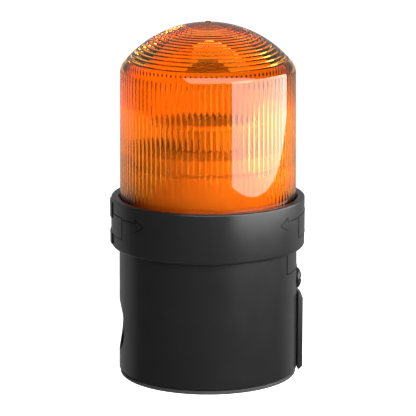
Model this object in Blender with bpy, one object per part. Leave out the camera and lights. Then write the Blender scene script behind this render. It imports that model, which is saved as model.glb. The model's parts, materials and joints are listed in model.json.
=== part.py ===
"""Warning beacon, 70 mm across, with an amber lens held by a twist-lock collar.

Frame: origin at the centre of the underside, +Z up, front towards -Y.
The cable entry is on the -X side, the entry cover and side screw on the +X side.
Turning the collar an eighth of a turn lifts it, with the lens, up its helical ribs.
"""
import math

import bmesh
import bpy
from mathutils import Matrix, Vector

MM = 0.001
SEGMENTS = 48                      # sides of the large round pieces
SMALL_SEGMENTS = 16                # sides of screws, pins and holes

# Clearances
GAP = 0.3 * MM                     # between pieces that touch
SCREW_CLEARANCE = 0.3 * MM         # round a screw's shank, on the radius
TURN_CLEARANCE = 0.4 * MM          # between the collar and what turns inside it

# Base
BASE_RADIUS = 32.5 * MM            # at the foot
BASE_DRAFT = 0.3 * MM              # how much narrower it is at the shoulder
BASE_WALL = 2.2 * MM
GASKET_HEIGHT = 1.4 * MM
GASKET_WIDTH = 4.5 * MM
GASKET_INSET = 0.4 * MM            # how far its rim stays inside the base's foot
SHOULDER_HEIGHT = 50.0 * MM        # where the base steps in to its neck
NECK_STEP = 2.0 * MM
NECK_WALL = 2.0 * MM
NECK_HEIGHT = 11.2 * MM
SHOULDER_EDGE = 0.4 * MM           # chamfer round the shoulder

# Base plate and its screws
PLATE_THICKNESS = 2.5 * MM
CABLE_HOLE_RADIUS = 11.0 * MM
PLATE_SCREW_ANGLES = (30, 150, 270)
PLATE_BOSS_INSET = 5.6 * MM        # from the base's inner wall to a boss's middle
PLATE_SCREW_LENGTH = 10.0 * MM
SLOT_ANGLES = (90, 210, 330)
SLOT_INSET = 10.0 * MM             # from the base's inner wall to a slot's middle
SLOT_WIDTH = 4.4 * MM
SLOT_LENGTH = 9.0 * MM

# Cable entry, entry cover and side screw
ENTRY_RADIUS = 9.7 * MM
ENTRY_HEIGHT = 17.9 * MM
COVER_WIDTH = 10.0 * MM
COVER_BOTTOM = 0.9 * MM
COVER_HEIGHT = 28.4 * MM
COVER_PROUD = 1.9 * MM             # how far the cover stands out of the base
COVER_STANDOFF = 0.35 * MM         # between the base's widest line and the cover
COVER_CHAMFER = 1.2 * MM
PLUG_MARGIN = 3.6 * MM             # from the cover's end to its opening's end
PLUG_WIDTH = 5.2 * MM
PLUG_ROOT = 0.5 * MM               # how far the plug reaches into its cover
SEAL_WIDTH = 0.8 * MM
SEAL_DEPTH = 1.6 * MM
SEAL_SETBACK = 0.2 * MM            # from the base's inner wall to the seal
SIDE_SCREW_RISE = 5.1 * MM         # from the cover's top to the screw's middle
SIDE_SCREW_HEAD_RADIUS = 3.85 * MM
SIDE_SCREW_HEAD_HEIGHT = 1.4 * MM
SIDE_SCREW_SHANK = 2.0 * MM
SIDE_SCREW_SLOT = 1.2 * MM
SIDE_SCREW_TIP = 2.0 * MM          # how far it passes its nut
SIDE_NUT_THICKNESS = 2.4 * MM
SIDE_NUT_WIDTH = 7.0 * MM

# Twist-lock collar
COLLAR_WALL = 1.6 * MM
COLLAR_ROOM = 1.2 * MM             # between the base and the inside of the collar
COLLAR_OVERLAP = 2.3 * MM          # how far it hangs below the base's shoulder
LIP_THICKNESS = 1.5 * MM
TWIST_DEGREES = 45.0
LIFT_PER_RADIAN = 3.8 * MM
LOCK_COUNT = 3
LUG_START_ANGLE = 40.0             # middle of the first lug
LUG_SWEEP = 12.0
LUG_RISE = 2.2 * MM                # from the base's shoulder to the lugs
LUG_HEIGHT = 2.4 * MM
RIB_START = -8.0                   # degrees from the middle of a lug
RIB_END_MARGIN = 9.0               # degrees between a freed lug and the rib's end
RIB_HEIGHT = 2.0 * MM
STOP_SWEEP = 4.0
STOP_OVERLAP = 1.2                 # degrees of the stop that lie under its rib
STOP_INSET = 0.2 * MM
MARK_HALF_ANGLE = 25.6             # half of a mark's raised pad
MARK_HEIGHT = 7.9 * MM
MARK_PROUD = 0.3 * MM
GRIP_HALF_ANGLE = 9.0
GRIP_PROUD = 0.5 * MM
GRIP_MARGIN = 1.5 * MM             # from the collar's ends to the grip ribs
GRIP_LOW_LAP = 0.2 * MM            # how far the lower grip rib runs onto the mark's pad
GRIP_HIGH_LAP = 2.0 * MM           # the same for the upper one
COLLAR_ROUND_EDGE = 1.2 * MM
COLLAR_SMALL_EDGE = 0.5 * MM

# Lens
LENS_INSET = 0.35 * MM             # narrower than the base's shoulder, at the collar
LENS_DRAFT = 0.35 * MM             # narrower again at its own shoulder
LENS_WALL = 2.0 * MM
LENS_HEIGHT = 44.5 * MM            # from the collar to the shoulder's round
LENS_FLANGE_THICKNESS = 1.5 * MM
LENS_FOOT_INSET = 1.3 * MM         # how far its foot reaches in past the neck
SHOULDER_FILLET = 6.0 * MM
DOME_FLATNESS = 7.5 * MM           # the dome's radius less the lens's radius
SEAL_THICKNESS = 0.8 * MM
SEAL_INSET = 0.2 * MM              # how far the neck seal stays inside the neck

# Contact deck
DECK_DEPTH = 4.2 * MM              # from the top of the neck down to the deck
DECK_THICKNESS = 2.4 * MM
DECK_SCREW_ANGLES = (90, 210, 330)
BOSS_RADIUS = 3.2 * MM
BOSS_INSET = 4.6 * MM              # from a wall to the middle of its bosses
BOSS_LENGTH = 9.5 * MM
BOSS_FLOOR = 1.5 * MM              # left under a blind hole
WEB_WIDTH = 2.4 * MM
SCREW_SHANK = 1.4 * MM
SCREW_HEAD_RADIUS = 2.7 * MM
SCREW_HEAD_HEIGHT = 1.4 * MM
DECK_SCREW_LENGTH = 9.0 * MM
CONTACT_SPACING = 20.0 * MM
CONTACT_RADIUS = 2.2 * MM
CONTACT_BORE = 1.4 * MM
CONTACT_LENGTH = 8.0 * MM
CONTACT_FLANGE = 3.3 * MM
CONTACT_FLANGE_HEIGHT = 0.7 * MM

# Terminals, under the deck
TERMINAL_COUNT = 3
TERMINAL_PITCH = 7.0 * MM
TERMINAL_BLOCK_DEPTH = 9.0 * MM
TERMINAL_BLOCK_HEIGHT = 9.0 * MM
TERMINAL_BLOCK_Y = -9.0 * MM
TERMINAL_CAVITY = 5.0 * MM
TERMINAL_ROOF = 1.6 * MM
CLAMP_SIZE = 3.8 * MM
CLAMP_WALL = 0.8 * MM
TERMINAL_BACK = 1.5 * MM           # wall behind the clamps
TERMINAL_SCREW_RADIUS = 1.2 * MM
TERMINAL_SCREW_HEAD = 0.8 * MM
TERMINAL_SCREW_SHORT = 0.6 * MM    # how far its tip stays from the middle of the clamp
LEAD_RADIUS = 0.7 * MM

# Light unit
UNIT_RISE = 1.9 * MM               # from the deck to the unit's floor
UNIT_ROOM = 1.5 * MM               # between the skirt and the lens's foot
UNIT_SKIRT_HEIGHT = 18.6 * MM
UNIT_DRUM_STEP = 3.8 * MM
UNIT_DRUM_HEIGHT = 5.5 * MM
UNIT_WALL = 1.8 * MM
UNIT_EDGE = 1.0 * MM
POST_RADIUS = 10.4 * MM            # across the corners of the six-sided post
POST_HEIGHT = 7.8 * MM
WIRE_HOLE_RADIUS = 5.5 * MM
FLOOR_HOLE_RADIUS = 3.0 * MM
CAP_THICKNESS = 2.4 * MM
CAP_RADIUS = 15.6 * MM
CAP_EDGE = 0.6 * MM
BOARD_COUNT = 6
BOARD_WIDTH = 8.6 * MM
BOARD_THICKNESS = 1.0 * MM
BOARD_END_MARGIN = 0.4 * MM
PIN_RADIUS = 1.1 * MM
PIN_TIP = 0.4 * MM
PIN_COLLAR = 1.0 * MM
PIN_REACH = 5.0 * MM               # how deep the pins go below the deck's top
DRIVER_SIZE = (30.0 * MM, 20.0 * MM, 1.2 * MM)
DRIVER_RISE = 4.8 * MM             # from the unit's floor to its driver board
CAPACITOR_RADIUS = 3.1 * MM
CAPACITOR_HEIGHT = 7.0 * MM
CUTTER_REACH = 3.0 * MM            # how far a cutter passes what it cuts

# Radii and heights worked out from the sizes above
BASE_TOP_RADIUS = BASE_RADIUS - BASE_DRAFT
BASE_BOTTOM = GASKET_HEIGHT + GAP
BASE_INNER = BASE_TOP_RADIUS - BASE_WALL
NECK_RADIUS = BASE_TOP_RADIUS - NECK_STEP
NECK_INNER = NECK_RADIUS - NECK_WALL
NECK_TOP = SHOULDER_HEIGHT + NECK_HEIGHT
PLATE_RADIUS = BASE_INNER - GAP
PLATE_BOTTOM = BASE_BOTTOM
PLATE_TOP = PLATE_BOTTOM + PLATE_THICKNESS
PLATE_SCREW_CIRCLE = BASE_INNER - PLATE_BOSS_INSET
SLOT_CIRCLE = BASE_INNER - SLOT_INSET
SCREW_HOLE = SCREW_SHANK + SCREW_CLEARANCE
DECK_TOP = NECK_TOP - DECK_DEPTH
DECK_BOTTOM = DECK_TOP - DECK_THICKNESS
DECK_RADIUS = NECK_INNER - GAP
DECK_SCREW_CIRCLE = NECK_INNER - BOSS_INSET
SIDE_SCREW_HEIGHT = COVER_BOTTOM + COVER_HEIGHT + SIDE_SCREW_RISE
COVER_INNER_FACE = BASE_RADIUS + COVER_STANDOFF
COVER_OUTER_FACE = BASE_RADIUS + COVER_PROUD
SEAL_BOTTOM = NECK_TOP + GAP
LENS_BOTTOM = SEAL_BOTTOM + SEAL_THICKNESS + GAP
LENS_FLANGE_TOP = LENS_BOTTOM + LENS_FLANGE_THICKNESS
COLLAR_INNER = BASE_TOP_RADIUS + COLLAR_ROOM
COLLAR_RADIUS = COLLAR_INNER + COLLAR_WALL
COLLAR_BOTTOM = SHOULDER_HEIGHT - COLLAR_OVERLAP
LIP_BOTTOM = LENS_FLANGE_TOP + GAP
COLLAR_TOP = LIP_BOTTOM + LIP_THICKNESS
LUG_BOTTOM = SHOULDER_HEIGHT + LUG_RISE
RIB_SWEEP = TWIST_DEGREES - LUG_SWEEP / 2 - RIB_END_MARGIN - RIB_START
LENS_RADIUS = BASE_TOP_RADIUS - LENS_INSET
LENS_TOP_RADIUS = LENS_RADIUS - LENS_DRAFT
LENS_FLANGE_RADIUS = COLLAR_INNER - TURN_CLEARANCE
LENS_FOOT_RADIUS = NECK_RADIUS - LENS_FOOT_INSET
LIP_INNER = LENS_RADIUS + TURN_CLEARANCE
SHOULDER_TOP = COLLAR_TOP + LENS_HEIGHT
DOME_RADIUS = LENS_TOP_RADIUS + DOME_FLATNESS
DOME_CENTRE = SHOULDER_TOP - math.sqrt((DOME_RADIUS - SHOULDER_FILLET) ** 2
                                       - (LENS_TOP_RADIUS - SHOULDER_FILLET) ** 2)
UNIT_BOTTOM = DECK_TOP + UNIT_RISE
UNIT_FLOOR_TOP = UNIT_BOTTOM + UNIT_WALL
UNIT_SKIRT_RADIUS = LENS_FOOT_RADIUS - UNIT_ROOM
UNIT_SKIRT_TOP = UNIT_BOTTOM + UNIT_SKIRT_HEIGHT
UNIT_DRUM_RADIUS = UNIT_SKIRT_RADIUS - UNIT_DRUM_STEP
UNIT_DRUM_TOP = UNIT_SKIRT_TOP + UNIT_DRUM_HEIGHT
POST_BOTTOM = UNIT_DRUM_TOP + GAP
POST_TOP = POST_BOTTOM + POST_HEIGHT
CAP_BOTTOM = POST_TOP + GAP
CAP_TOP = CAP_BOTTOM + CAP_THICKNESS
DRIVER_HEIGHT = UNIT_FLOOR_TOP + DRIVER_RISE
PIN_BOTTOM = DECK_TOP - PIN_REACH


def clear_scene():
    for thing in list(bpy.data.objects):
        bpy.data.objects.remove(thing, do_unlink=True)


def make_material(name, color, roughness, metallic=0.0, alpha=1.0):
    material = bpy.data.materials.new(name)
    material.use_nodes = True
    shader = material.node_tree.nodes["Principled BSDF"]
    shader.inputs["Base Color"].default_value = (*color, 1.0)
    shader.inputs["Roughness"].default_value = roughness
    shader.inputs["Metallic"].default_value = metallic
    shader.inputs["Alpha"].default_value = alpha
    return material


def polar(radius, degrees, height=0.0):
    angle = math.radians(degrees)
    return Vector((radius * math.cos(angle), radius * math.sin(angle), height))


def add_object(name, bm, material=None, smooth=True):
    """Turn a bmesh into an object, with its faces pointing out."""
    bmesh.ops.remove_doubles(bm, verts=bm.verts, dist=1e-6)
    bmesh.ops.recalc_face_normals(bm, faces=bm.faces)
    mesh = bpy.data.meshes.new(name)
    bm.to_mesh(mesh)
    bm.free()
    thing = bpy.data.objects.new(name, mesh)
    bpy.context.collection.objects.link(thing)
    if material:
        mesh.materials.append(material)
    if smooth:
        mesh.shade_smooth()
        mesh.set_sharp_from_angle(angle=math.radians(35))
    return thing


def turned(name, profile, material=None, segments=SEGMENTS, closed=True):
    """Spin an outline of (radius, height) points round the Z axis.

    A closed outline makes a ring; an open one starts and ends on the axis.
    """
    bm = bmesh.new()
    verts = [bm.verts.new((radius, 0.0, height)) for radius, height in profile]
    pairs = list(zip(verts, verts[1:]))
    if closed:
        pairs.append((verts[-1], verts[0]))
    edges = [bm.edges.new(pair) for pair in pairs]
    bmesh.ops.spin(bm, geom=verts + edges, cent=(0, 0, 0), axis=(0, 0, 1),
                   angle=math.tau, steps=segments, use_merge=True)
    return add_object(name, bm, material)


def solid_of_turn(name, profile, material=None, segments=SMALL_SEGMENTS):
    return turned(name, profile, material, segments, closed=False)


def prism(name, outline, depth, material=None):
    """Extrude an outline in the XY plane up by depth, from the object's origin."""
    bm = bmesh.new()
    face = bm.faces.new([bm.verts.new((x, y, 0.0)) for x, y in outline])
    grown = bmesh.ops.extrude_face_region(bm, geom=[face])
    top = [item for item in grown["geom"] if isinstance(item, bmesh.types.BMVert)]
    bmesh.ops.translate(bm, vec=(0, 0, depth), verts=top)
    return add_object(name, bm, material)


def block(name, low, high, material=None):
    """A box between two corners."""
    low, high = Vector(low), Vector(high)
    bm = bmesh.new()
    size = Matrix.Diagonal((*(high - low), 1.0))
    bmesh.ops.create_cube(bm, size=1.0, matrix=Matrix.Translation((low + high) / 2) @ size)
    return add_object(name, bm, material, smooth=False)


def rod(name, radius, low, high, material=None, segments=SMALL_SEGMENTS, turn=0.0):
    """A plain round rod along Z, between two heights."""
    bm = bmesh.new()
    place = Matrix.Translation((0, 0, (low + high) / 2)) @ Matrix.Rotation(turn, 4, "Z")
    bmesh.ops.create_cone(bm, cap_ends=True, segments=segments, radius1=radius,
                          radius2=radius, depth=high - low, matrix=place)
    return add_object(name, bm, material)


def drill(name, radius, low, high, segments=SMALL_SEGMENTS):
    """A round cutter, turned half a side so that its corners miss those of a round piece."""
    return rod(name, radius, low, high, None, segments, math.pi / segments)


def lay_along_x(thing):
    thing.rotation_euler = (0, math.radians(90), 0)
    return thing


def combine(target, other, operation):
    """Join or cut with a hidden object that the build leaves out."""
    other.hide_render = True
    other.display_type = "WIRE"
    modifier = target.modifiers.new(other.name, "BOOLEAN")
    modifier.operation = operation
    modifier.object = other
    return target


def join(target, other):
    return combine(target, other, "UNION")


def cut(target, other):
    return combine(target, other, "DIFFERENCE")


def arc_points(centre, radius, start, end, steps):
    """Points on an arc in a (radius, height) plane, in degrees."""
    points = []
    for step in range(steps + 1):
        angle = math.radians(start + (end - start) * step / steps)
        points.append((centre[0] + radius * math.cos(angle),
                       centre[1] + radius * math.sin(angle)))
    return points


def helical_block(name, inner, outer, bottom, height, middle, start, sweep):
    """A bar that climbs round the axis with the collar's own lift."""
    bm = bmesh.new()
    steps = max(3, round(sweep / 5))
    rings = []
    for step in range(steps + 1):
        offset = start + sweep * step / steps
        rise = LIFT_PER_RADIAN * math.radians(offset)
        corners = ((inner, 0), (outer, 0), (outer, height), (inner, height))
        rings.append([bm.verts.new(polar(radius, middle + offset, bottom + rise + up))
                      for radius, up in corners])
    for near, far in zip(rings, rings[1:]):
        for corner in range(4):
            after = (corner + 1) % 4
            bm.faces.new((near[corner], near[after], far[after], far[corner]))
    bm.faces.new(rings[0])
    bm.faces.new(rings[-1])
    bmesh.ops.triangulate(bm, faces=bm.faces)
    return add_object(name, bm)


def screw(name, radius, head_radius, head_height, length, material, slotted=True):
    """A screw standing head up, with the underside of its head at its origin."""
    rim = 0.3 * MM
    profile = [(0, head_height), (head_radius - rim, head_height),
               (head_radius, head_height - rim), (head_radius, 0), (radius, 0),
               (radius, rim - length), (radius - rim, -length), (0, -length)]
    body = solid_of_turn(name, profile, material)
    if slotted:
        slot_half_width = 0.45 * MM
        slot = block(name + "_slot",
                     (-2 * head_radius, -slot_half_width, head_height / 2),
                     (2 * head_radius, slot_half_width, 2 * head_height))
        slot.parent = body
        cut(body, slot)
    return body


def boss(name, angle, circle, bottom, top, wall_radius):
    """A screw boss with a web that joins it to the base's wall."""
    pillar = rod(name, BOSS_RADIUS, bottom, top)
    pillar.location = polar(circle, angle)
    step = 0.5 * MM
    web = block(name + "_web", (0, -WEB_WIDTH / 2, bottom + step),
                (wall_radius - circle + BASE_WALL / 2, WEB_WIDTH / 2, top - step))
    web.location = pillar.location
    web.rotation_euler = (0, 0, math.radians(angle))
    return pillar, web


def housing_profile():
    return [(BASE_INNER, BASE_BOTTOM), (BASE_RADIUS, BASE_BOTTOM),
            (BASE_TOP_RADIUS, SHOULDER_HEIGHT - SHOULDER_EDGE),
            (BASE_TOP_RADIUS - SHOULDER_EDGE, SHOULDER_HEIGHT),
            (NECK_RADIUS, SHOULDER_HEIGHT), (NECK_RADIUS, NECK_TOP),
            (NECK_INNER, NECK_TOP), (NECK_INNER, SHOULDER_HEIGHT - NECK_WALL),
            (BASE_INNER, SHOULDER_HEIGHT - 2 * NECK_WALL)]


def make_base_housing(material):
    housing = turned("base_housing", housing_profile(), material)
    for number, angle in enumerate(PLATE_SCREW_ANGLES, start=1):
        name = "plate_boss_%d" % number
        low = PLATE_TOP + GAP
        for adder in boss(name, angle, PLATE_SCREW_CIRCLE, low, low + BOSS_LENGTH, BASE_INNER):
            join(housing, adder)
        pilot = drill(name + "_hole", SCREW_HOLE, low - BOSS_LENGTH, low + BOSS_LENGTH - BOSS_FLOOR)
        pilot.location = polar(PLATE_SCREW_CIRCLE, angle)
        cut(housing, pilot)
    for number, angle in enumerate(DECK_SCREW_ANGLES, start=1):
        name = "deck_boss_%d" % number
        high = DECK_BOTTOM - GAP
        for adder in boss(name, angle, DECK_SCREW_CIRCLE, high - BOSS_LENGTH, high, NECK_INNER):
            join(housing, adder)
        pilot = drill(name + "_hole", SCREW_HOLE, high - BOSS_LENGTH + BOSS_FLOOR, high + BOSS_LENGTH)
        pilot.location = polar(DECK_SCREW_CIRCLE, angle)
        cut(housing, pilot)
    add_lock_ribs(housing)
    cut_side_openings(housing)
    return housing


def add_lock_ribs(housing):
    """Three ribs that hold the collar's lugs down, each with a stop at its low end."""
    buried = 0.6 * MM
    inner = NECK_RADIUS - buried
    outer = COLLAR_INNER - TURN_CLEARANCE - (COLLAR_INNER - BASE_TOP_RADIUS) / 2
    underside = LUG_BOTTOM + LUG_HEIGHT + GAP
    for number in range(LOCK_COUNT):
        middle = LUG_START_ANGLE + number * 360 / LOCK_COUNT
        rib = helical_block("lock_rib_%d" % (number + 1), inner, outer, underside,
                            RIB_HEIGHT, middle, RIB_START, RIB_SWEEP)
        join(housing, rib)
        stop = helical_block("lock_stop_%d" % (number + 1), inner - STOP_INSET,
                             outer - STOP_INSET, underside - LUG_HEIGHT,
                             LUG_HEIGHT + RIB_HEIGHT / 2, middle,
                             RIB_START - STOP_SWEEP + STOP_OVERLAP, STOP_SWEEP)
        join(housing, stop)


def cut_side_openings(housing):
    near, far = BASE_INNER - CUTTER_REACH, BASE_RADIUS + CUTTER_REACH
    entry = lay_along_x(drill("entry_hole", ENTRY_RADIUS, -far, -near, segments=32))
    entry.location = (0, 0, ENTRY_HEIGHT)
    cut(housing, entry)
    half = PLUG_WIDTH / 2 + SEAL_WIDTH + 2 * GAP
    low = COVER_BOTTOM + PLUG_MARGIN
    high = COVER_BOTTOM + COVER_HEIGHT - PLUG_MARGIN
    cut(housing, block("cover_opening", (near, -half, low), (far, half, high)))
    hole = lay_along_x(drill("side_screw_hole", SIDE_SCREW_SHANK + SCREW_CLEARANCE, near, far))
    hole.location = (0, 0, SIDE_SCREW_HEIGHT)
    cut(housing, hole)


def make_mounting_gasket(material):
    outer = BASE_RADIUS - GASKET_INSET
    inner = BASE_RADIUS - GASKET_WIDTH
    return turned("mounting_gasket", [(inner, 0), (outer, 0), (outer, GASKET_HEIGHT),
                                      (inner, GASKET_HEIGHT)], material)


def stadium(length, width, steps=6):
    """Outline of a slot with round ends, along Y."""
    reach = (length - width) / 2
    ends = arc_points((0, reach), width / 2, 0, 180, steps)
    return ends + arc_points((0, -reach), width / 2, 180, 360, steps)


def make_base_plate(material):
    plate = rod("base_plate", PLATE_RADIUS, PLATE_BOTTOM, PLATE_TOP, material, SEGMENTS)
    cut(plate, drill("cable_hole", CABLE_HOLE_RADIUS, -PLATE_TOP, 2 * PLATE_TOP, segments=32))
    for number, angle in enumerate(SLOT_ANGLES, start=1):
        slot = prism("mounting_slot_%d" % number, stadium(SLOT_LENGTH, SLOT_WIDTH), 2 * PLATE_TOP)
        slot.location = polar(SLOT_CIRCLE, angle, -PLATE_BOTTOM)
        slot.rotation_euler = (0, 0, math.radians(angle))
        cut(plate, slot)
    for number, angle in enumerate(PLATE_SCREW_ANGLES, start=1):
        hole = drill("plate_screw_hole_%d" % number, SCREW_HOLE, -PLATE_TOP, 2 * PLATE_TOP)
        hole.location = polar(PLATE_SCREW_CIRCLE, angle)
        cut(plate, hole)
    return plate


def make_plate_screws(material):
    for number, angle in enumerate(PLATE_SCREW_ANGLES, start=1):
        one = screw("plate_screw_%d" % number, SCREW_SHANK, SCREW_HEAD_RADIUS,
                    PLATE_BOTTOM - 2 * GAP, PLATE_SCREW_LENGTH, material)
        one.location = polar(PLATE_SCREW_CIRCLE, angle, PLATE_BOTTOM - GAP)
        one.rotation_euler = (math.radians(180), 0, math.radians(angle))


def make_side_screw(material, nut_material):
    head_foot = COVER_INNER_FACE
    profile = [(0, head_foot + SIDE_SCREW_HEAD_HEIGHT)]
    dome = arc_points((0, head_foot), 1.0, 80, 0, 6)
    for across, up in dome:
        profile.append((across * SIDE_SCREW_HEAD_RADIUS,
                        head_foot + (up - head_foot) * SIDE_SCREW_HEAD_HEIGHT))
    tip = BASE_INNER - SIDE_NUT_THICKNESS - SIDE_SCREW_TIP
    profile += [(SIDE_SCREW_SHANK, head_foot), (SIDE_SCREW_SHANK, tip), (0, tip)]
    one = lay_along_x(solid_of_turn("side_screw", profile, material))
    one.location = (0, 0, SIDE_SCREW_HEIGHT)
    slot = block("side_screw_slot",
                 (head_foot + SIDE_SCREW_HEAD_HEIGHT / 2, -2 * SIDE_SCREW_HEAD_RADIUS,
                  SIDE_SCREW_HEIGHT - SIDE_SCREW_SLOT / 2),
                 (head_foot + 2 * SIDE_SCREW_HEAD_HEIGHT, 2 * SIDE_SCREW_HEAD_RADIUS,
                  SIDE_SCREW_HEIGHT + SIDE_SCREW_SLOT / 2))
    cut(one, slot)
    half = SIDE_NUT_WIDTH / 2
    outer = math.sqrt(BASE_INNER ** 2 - half ** 2) - GAP
    nut = block("side_screw_nut", (outer - SIDE_NUT_THICKNESS, -half, SIDE_SCREW_HEIGHT - half),
                (outer, half, SIDE_SCREW_HEIGHT + half), nut_material)
    hole = lay_along_x(drill("side_nut_hole", SIDE_SCREW_SHANK + SCREW_CLEARANCE,
                           BASE_INNER / 2, BASE_RADIUS))
    hole.location = (0, 0, SIDE_SCREW_HEIGHT)
    cut(nut, hole)


def make_entry_cover(material, seal_material):
    """A press-in cover: an upright bar outside, and a plug that fills its opening."""
    low, high = COVER_BOTTOM, COVER_BOTTOM + COVER_HEIGHT
    inner, outer = COVER_INNER_FACE, COVER_OUTER_FACE
    outline = [(inner, low), (outer - COVER_CHAMFER / 2, low), (outer, low + COVER_CHAMFER),
               (outer, high - COVER_CHAMFER), (outer - COVER_CHAMFER / 2, high), (inner, high)]
    cover = prism("entry_cover", outline, COVER_WIDTH, material)
    cover.rotation_euler = (math.radians(90), 0, 0)
    cover.location = (0, COVER_WIDTH / 2, 0)
    half = PLUG_WIDTH / 2
    end = PLUG_MARGIN + SEAL_WIDTH + 2 * GAP
    join(cover, block("cover_plug", (BASE_INNER, -half, low + end),
                      (inner + PLUG_ROOT, half, high - end)))
    seal_in, seal_out = half + GAP, half + GAP + SEAL_WIDTH
    seal_x = BASE_INNER + SEAL_SETBACK
    seal = block("entry_cover_seal", (seal_x, -seal_out, low + end - GAP - SEAL_WIDTH),
                 (seal_x + SEAL_DEPTH, seal_out, high - end + GAP + SEAL_WIDTH), seal_material)
    cut(seal, block("seal_middle", (seal_x - CUTTER_REACH, -seal_in, low + end - GAP),
                    (seal_x + SEAL_DEPTH + CUTTER_REACH, seal_in, high - end + GAP)))


def lens_profile():
    """Outer skin from the flange up to the apex, then the inner skin back down."""
    outer = [(LENS_FOOT_RADIUS, LENS_BOTTOM), (LENS_FLANGE_RADIUS, LENS_BOTTOM),
             (LENS_FLANGE_RADIUS, LENS_FLANGE_TOP), (LENS_RADIUS, LENS_FLANGE_TOP),
             (LENS_RADIUS, COLLAR_TOP)]
    fillet_x = LENS_TOP_RADIUS - SHOULDER_FILLET
    meet = math.degrees(math.atan2(SHOULDER_TOP - DOME_CENTRE, fillet_x))
    outer += arc_points((fillet_x, SHOULDER_TOP), SHOULDER_FILLET, 0, meet, 3)
    outer += arc_points((0, DOME_CENTRE), DOME_RADIUS, meet, 90, 6)[1:]
    inner = arc_points((0, DOME_CENTRE), DOME_RADIUS - LENS_WALL, 90, meet, 5)
    inner += arc_points((fillet_x, SHOULDER_TOP), SHOULDER_FILLET - LENS_WALL, meet, 0, 3)[1:]
    inner += [(LENS_RADIUS - LENS_WALL, LENS_FLANGE_TOP), (LENS_FOOT_RADIUS, LENS_FLANGE_TOP)]
    return outer, inner


def make_lens_dome(material):
    """A cup whose skins both reach the axis, joined at the foot ring."""
    outer, inner = lens_profile()
    outer[-1] = (0.0, outer[-1][1])
    inner[0] = (0.0, inner[0][1])
    return turned("lens_dome", inner + outer, material, closed=False)


def make_neck_seal(material):
    outer = NECK_RADIUS - SEAL_INSET
    inner = LENS_FOOT_RADIUS - GAP
    return turned("neck_seal", [(inner, SEAL_BOTTOM), (outer, SEAL_BOTTOM),
                                (outer, SEAL_BOTTOM + SEAL_THICKNESS),
                                (inner, SEAL_BOTTOM + SEAL_THICKNESS)], material)


def sector(name, inner, outer, low, high, middle, half_angle, material=None):
    """A curved block round the axis."""
    steps = max(2, round(half_angle / 3))
    start, end = middle - half_angle, middle + half_angle
    outline = arc_points((0, 0), outer, start, end, steps)
    outline += arc_points((0, 0), inner, end, start, steps)
    piece = prism(name, outline, high - low, material)
    piece.location = (0, 0, low)
    return piece


def make_locking_collar(material):
    edge = COLLAR_SMALL_EDGE
    foot = COLLAR_RADIUS - COLLAR_ROUND_EDGE
    profile = [(COLLAR_INNER, COLLAR_BOTTOM), (foot, COLLAR_BOTTOM)]
    profile += arc_points((foot, COLLAR_BOTTOM + COLLAR_ROUND_EDGE), COLLAR_ROUND_EDGE, -60, 0, 2)
    profile += [(COLLAR_RADIUS, COLLAR_TOP - edge), (COLLAR_RADIUS - edge, COLLAR_TOP),
                (LIP_INNER, COLLAR_TOP), (LIP_INNER, LIP_BOTTOM), (COLLAR_INNER, LIP_BOTTOM)]
    collar = turned("locking_collar", profile, material)
    bottom = COLLAR_BOTTOM + (COLLAR_TOP - COLLAR_BOTTOM - MARK_HEIGHT) / 2
    for number, side in enumerate((0, 180), start=1):
        join(collar, sector("mark_pad_%d" % number, COLLAR_RADIUS - COLLAR_WALL / 2,
                            COLLAR_RADIUS + MARK_PROUD, bottom, bottom + MARK_HEIGHT,
                            side, MARK_HALF_ANGLE))
    spans = ((COLLAR_BOTTOM + GRIP_MARGIN, bottom + GRIP_LOW_LAP),
             (bottom + MARK_HEIGHT - GRIP_HIGH_LAP, COLLAR_TOP - GRIP_MARGIN))
    for number, (low, high) in enumerate(spans, start=1):
        join(collar, sector("grip_rib_%d" % number, COLLAR_RADIUS - COLLAR_WALL / 2,
                            COLLAR_RADIUS + GRIP_PROUD, low, high, 180, GRIP_HALF_ANGLE))
    for number in range(LOCK_COUNT):
        middle = LUG_START_ANGLE + number * 360 / LOCK_COUNT
        lug = helical_block("collar_lug_%d" % (number + 1), NECK_RADIUS + GAP,
                            COLLAR_INNER + COLLAR_WALL / 2, LUG_BOTTOM, LUG_HEIGHT,
                            middle, -LUG_SWEEP / 2, LUG_SWEEP)
        join(collar, lug)
    return collar


def make_contact_deck(material):
    deck = rod("contact_deck", DECK_RADIUS, DECK_BOTTOM, DECK_TOP, material, SEGMENTS)
    for number, angle in enumerate(DECK_SCREW_ANGLES, start=1):
        hole = drill("deck_screw_hole_%d" % number, SCREW_HOLE, 0, 2 * DECK_TOP)
        hole.location = polar(DECK_SCREW_CIRCLE, angle)
        cut(deck, hole)
    for number, side in enumerate((-1, 1), start=1):
        hole = drill("contact_hole_%d" % number, CONTACT_RADIUS + GAP, 0, 2 * DECK_TOP)
        hole.location = (side * CONTACT_SPACING / 2, 0, 0)
        cut(deck, hole)
    return deck


def make_deck_screws(material):
    for number, angle in enumerate(DECK_SCREW_ANGLES, start=1):
        one = screw("deck_screw_%d" % number, SCREW_SHANK, SCREW_HEAD_RADIUS,
                    SCREW_HEAD_HEIGHT, DECK_SCREW_LENGTH, material)
        one.location = polar(DECK_SCREW_CIRCLE, angle, DECK_TOP + GAP)
        one.rotation_euler = (0, 0, math.radians(angle + 20))


def make_socket_contacts(material):
    low = DECK_TOP + GAP - CONTACT_LENGTH
    high = DECK_TOP + GAP
    top = high + CONTACT_FLANGE_HEIGHT
    for number, side in enumerate((-1, 1), start=1):
        one = turned("socket_contact_%d" % number,
                     [(CONTACT_BORE, low), (CONTACT_RADIUS, low), (CONTACT_RADIUS, high),
                      (CONTACT_FLANGE, high), (CONTACT_FLANGE, top), (CONTACT_BORE, top)],
                     material, SMALL_SEGMENTS)
        one.location = (side * CONTACT_SPACING / 2, 0, 0)


def terminal_x(number):
    return (number - (TERMINAL_COUNT - 1) / 2) * TERMINAL_PITCH


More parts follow.
